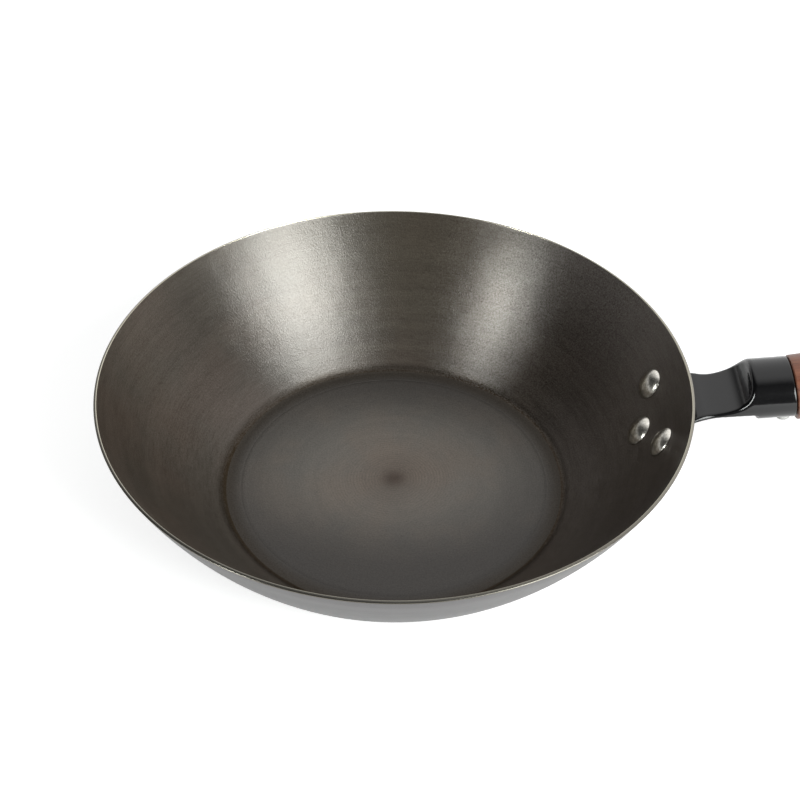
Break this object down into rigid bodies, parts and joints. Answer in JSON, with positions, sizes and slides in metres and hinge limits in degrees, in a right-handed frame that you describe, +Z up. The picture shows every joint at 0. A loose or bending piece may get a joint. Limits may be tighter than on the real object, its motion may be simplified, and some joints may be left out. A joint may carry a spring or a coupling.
{
  "type": "carbon steel wok",
  "caption": "Flat-bottomed carbon steel wok with flared walls, a riveted steel handle bracket, an oval wooden grip and a swinging hanging ring.",
  "frame": {"origin": "centre of the flat base, on the surface it stands on", "axes": "+Z up out of the bowl; +X along the handle, away from the bowl; +Y completes the right-handed frame"},
  "size_m": [0.5034, 0.3, 0.102],
  "materials": {
    "carbon_steel": "fine brushed, seasoned inside",
    "black_enamel": "gloss",
    "polished_rivet": "polished",
    "oiled_wood": "oiled satin",
    "bright_steel": "bright zinc plate"
  },
  "bodies": {
    "wok": {"wok_body": "carbon_steel", "handle_bracket": "black_enamel", "rivet_upper_front": "polished_rivet", "rivet_upper_back": "polished_rivet", "rivet_lower": "polished_rivet", "wooden_grip": "oiled_wood", "grip_screw": "bright_steel", "hanging_eye": "bright_steel"},
    "ring": {"hanging_ring": "bright_steel"}
  },
  "joints": [
    {"name": "ring_swing", "type": "hinge", "parent": "wok", "child": "ring", "pos_m": [0.34748, 0, 0.09106], "axis": [0, -1, 0], "range_deg": [-45, 235]}
  ]
}
